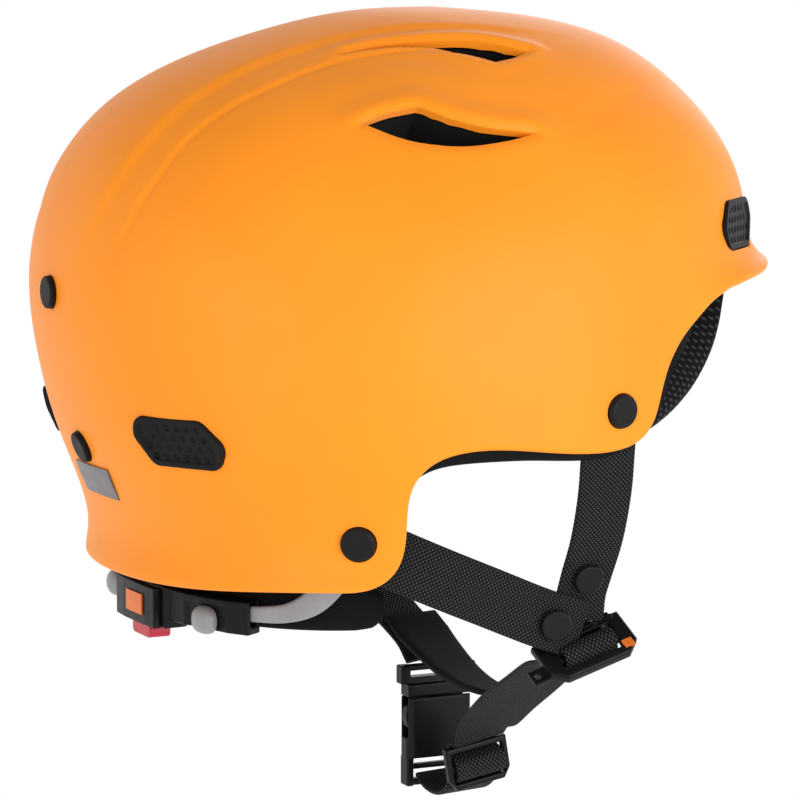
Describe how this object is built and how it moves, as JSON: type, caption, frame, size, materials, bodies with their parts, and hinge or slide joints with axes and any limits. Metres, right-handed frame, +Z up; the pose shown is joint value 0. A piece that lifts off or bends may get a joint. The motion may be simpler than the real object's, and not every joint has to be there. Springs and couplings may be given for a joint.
{
  "type": "helmet",
  "caption": "Half-cut sports helmet with vented orange shell, foam liner, comfort pads, webbing chin harness with side-release buckle, and a tilting rear fit cradle.",
  "frame": {"origin": "centre of the head opening at the height of the rear rim, where the head enters", "axes": "+Z up, front of the helmet towards -Y, wearer's left at +X"},
  "size_m": [0.22, 0.2591, 0.2843],
  "materials": {
    "shell_orange": "satin",
    "foam_black": "matte",
    "pad_fabric": "matte",
    "webbing": "matte",
    "black_plastic": "satin",
    "grey_plastic": "satin",
    "red_plastic": "satin",
    "orange_print": "satin",
    "label_grey": "matte",
    "washer_steel": "satin"
  },
  "bodies": {
    "helmet": {"blank_label": "label_grey", "brow_pad": "pad_fabric", "buckle_plug": "black_plastic", "chin_guard": "pad_fabric", "chin_strap": "webbing", "crown_pad": "pad_fabric", "foam_liner": "foam_black", "front_quarter_plug_left": "black_plastic", "front_quarter_plug_right": "black_plastic", "front_strap_left": "webbing", "front_strap_right": "webbing", "left_chin_strap": "webbing", "outer_shell": "shell_orange", "press_stud_caps": "black_plastic", "rear_pad": "pad_fabric", "rear_plug_lower": "black_plastic", "rear_plug_upper": "black_plastic", "rear_quarter_plug_left": "black_plastic", "rear_quarter_plug_right": "black_plastic", "rear_strap_left": "webbing", "rear_strap_right": "webbing", "rivet_caps": "black_plastic", "rivet_washers": "washer_steel", "temple_pad_left": "pad_fabric", "temple_pad_right": "pad_fabric"},
    "cradle": {"cradle_arm_right": "grey_plastic", "cradle_arm_left": "grey_plastic", "nape_band": "pad_fabric", "adjuster_housing": "black_plastic", "adjuster_cover": "black_plastic", "cradle_badge": "orange_print"},
    "grip_right": {"adjuster_grip_right": "grey_plastic"},
    "grip_left": {"adjuster_grip_left": "grey_plastic"},
    "tab": {"release_tab": "red_plastic"},
    "lock_right": {"strap_lock_right": "black_plastic"},
    "lock_left": {"strap_lock_left": "black_plastic"},
    "prong_rear": {"buckle_prong_rear": "black_plastic"},
    "prong_front": {"buckle_prong_front": "black_plastic"},
    "socket": {"buckle_socket": "black_plastic", "strap_slider": "black_plastic", "buckle_loop": "webbing"}
  },
  "joints": [
    {"name": "cradle_tilt", "type": "hinge", "parent": "helmet", "child": "cradle", "pos_m": [0, 0.0526, 0.0195], "axis": [1, 0, 0], "range_deg": [-12, 3]},
    {"name": "grip_right_press", "type": "slide", "parent": "cradle", "child": "grip_right", "axis": [0.9539, 0.3, 0], "range_m": [0, 0.0033], "stiffness_N_per_m": 900, "springref_m": -0.0005},
    {"name": "grip_left_press", "type": "slide", "parent": "cradle", "child": "grip_left", "axis": [-0.9539, 0.3, 0], "range_m": [0, 0.0033], "stiffness_N_per_m": 900, "springref_m": -0.0005},
    {"name": "tab_press", "type": "slide", "parent": "cradle", "child": "tab", "axis": [0, 0, 1], "range_m": [0, 0.002], "stiffness_N_per_m": 800, "springref_m": -0.0005},
    {"name": "lock_right_tilt", "type": "hinge", "parent": "helmet", "child": "lock_right", "pos_m": [-0.079, -0.0342, -0.0195], "axis": [0, -0.9555, 0.2949], "range_deg": [-4, 12]},
    {"name": "lock_left_tilt", "type": "hinge", "parent": "helmet", "child": "lock_left", "pos_m": [0.079, -0.0342, -0.0195], "axis": [0, -0.9555, 0.2949], "range_deg": [-12, 4]},
    {"name": "prong_rear_flex", "type": "hinge", "parent": "helmet", "child": "prong_rear", "pos_m": [0.043, -0.0319, -0.0624], "axis": [1, 0, 0], "range_deg": [-8, 0], "stiffness_Nm_per_rad": 0.05, "springref_deg": 1.15},
    {"name": "prong_front_flex", "type": "hinge", "parent": "helmet", "child": "prong_front", "pos_m": [0.043, -0.0481, -0.0624], "axis": [1, 0, 0], "range_deg": [0, 8], "stiffness_Nm_per_rad": 0.05, "springref_deg": -1.15},
    {"name": "buckle_release", "type": "slide", "parent": "helmet", "child": "socket", "axis": [0, 0, -1], "range_m": [0, 0.02]}
  ],
  "couplings": [
    {"joint": "grip_left_press", "follows": "grip_right_press", "ratio": 1},
    {"joint": "prong_front_flex", "follows": "prong_rear_flex", "ratio": -1}
  ]
}
